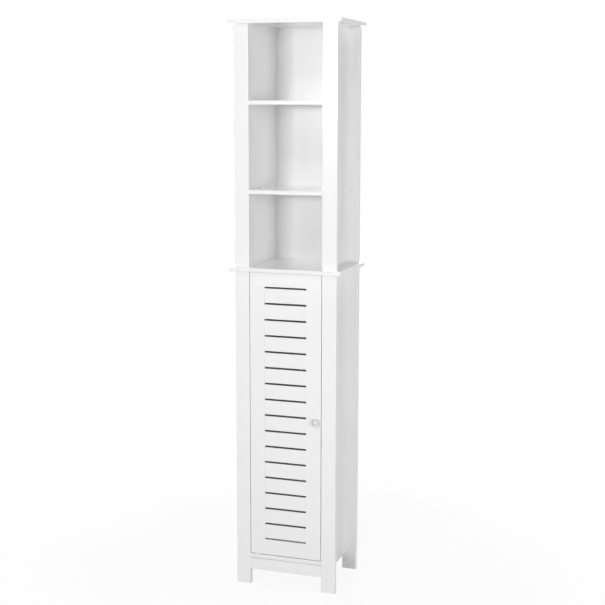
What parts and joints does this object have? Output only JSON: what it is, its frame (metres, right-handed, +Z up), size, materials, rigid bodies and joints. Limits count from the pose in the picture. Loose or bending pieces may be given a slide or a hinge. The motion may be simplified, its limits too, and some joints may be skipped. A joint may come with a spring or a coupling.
{
  "type": "column cabinet",
  "caption": "Tall narrow free-standing bathroom column cabinet with open bays above and a slatted hinged door below, on board legs.",
  "frame": {"origin": "on the floor, under the middle of the whole cabinet, the knob counted", "axes": "+Z up; the front, with the door and the open bays, faces -Y; +X is to the right as seen from the front"},
  "size_m": [0.345, 0.26, 1.716],
  "materials": {
    "white_lacquer": "white satin lacquer on fibreboard",
    "white_hardboard": "white-coated thin hardboard",
    "knob_enamel": "white enamel on turned wood",
    "beech": "plain turned beech",
    "zinc_steel": "zinc plated",
    "white_plastic": "moulded",
    "natural_nylon": "moulded nylon",
    "ferrite": "sintered magnet"
  },
  "bodies": {
    "cabinet": {"back_screws": "zinc_steel", "bottom_board": "white_lacquer", "catch_housing": "white_plastic", "catch_magnet": "ferrite", "dowels": "beech", "fitting_screws": "zinc_steel", "front_apron": "white_lacquer", "high_inner_shelf": "white_lacquer", "high_open_shelf": "white_lacquer", "leg_front_left": "white_lacquer", "leg_front_right": "white_lacquer", "leg_rear_left": "white_lacquer", "leg_rear_right": "white_lacquer", "long_dowels": "beech", "low_inner_shelf": "white_lacquer", "low_open_shelf": "white_lacquer", "lower_back": "white_hardboard", "lower_side_left": "white_lacquer", "lower_side_right": "white_lacquer", "middle_board": "white_lacquer", "pivot_bushes": "natural_nylon", "screw_caps": "white_plastic", "shelf_pins": "zinc_steel", "shelf_screws": "zinc_steel", "top_board": "white_lacquer", "upper_back": "white_hardboard", "upper_post_front_left": "white_lacquer", "upper_post_front_right": "white_lacquer", "upper_post_rear_left": "white_lacquer", "upper_post_rear_right": "white_lacquer", "upper_side_left": "white_lacquer", "upper_side_right": "white_lacquer", "wall_bracket": "zinc_steel"},
    "door": {"door_bottom_rail": "white_lacquer", "door_hinge_stile": "white_lacquer", "door_knob": "knob_enamel", "door_knob_stile": "white_lacquer", "door_slat_01": "white_lacquer", "door_slat_02": "white_lacquer", "door_slat_03": "white_lacquer", "door_slat_04": "white_lacquer", "door_slat_05": "white_lacquer", "door_slat_06": "white_lacquer", "door_slat_07": "white_lacquer", "door_slat_08": "white_lacquer", "door_slat_09": "white_lacquer", "door_slat_10": "white_lacquer", "door_slat_11": "white_lacquer", "door_slat_12": "white_lacquer", "door_slat_13": "white_lacquer", "door_slat_14": "white_lacquer", "door_slat_15": "white_lacquer", "door_slat_16": "white_lacquer", "door_top_rail": "white_lacquer", "knob_screw": "zinc_steel", "pivot_pins": "zinc_steel", "strike_plate": "zinc_steel", "strike_screw": "zinc_steel"}
  },
  "joints": [
    {"name": "door_swing", "type": "hinge", "parent": "cabinet", "child": "door", "pos_m": [-0.09112, -0.1, 0.5335], "axis": [0, 0, -1], "range_deg": [0, 110]}
  ]
}
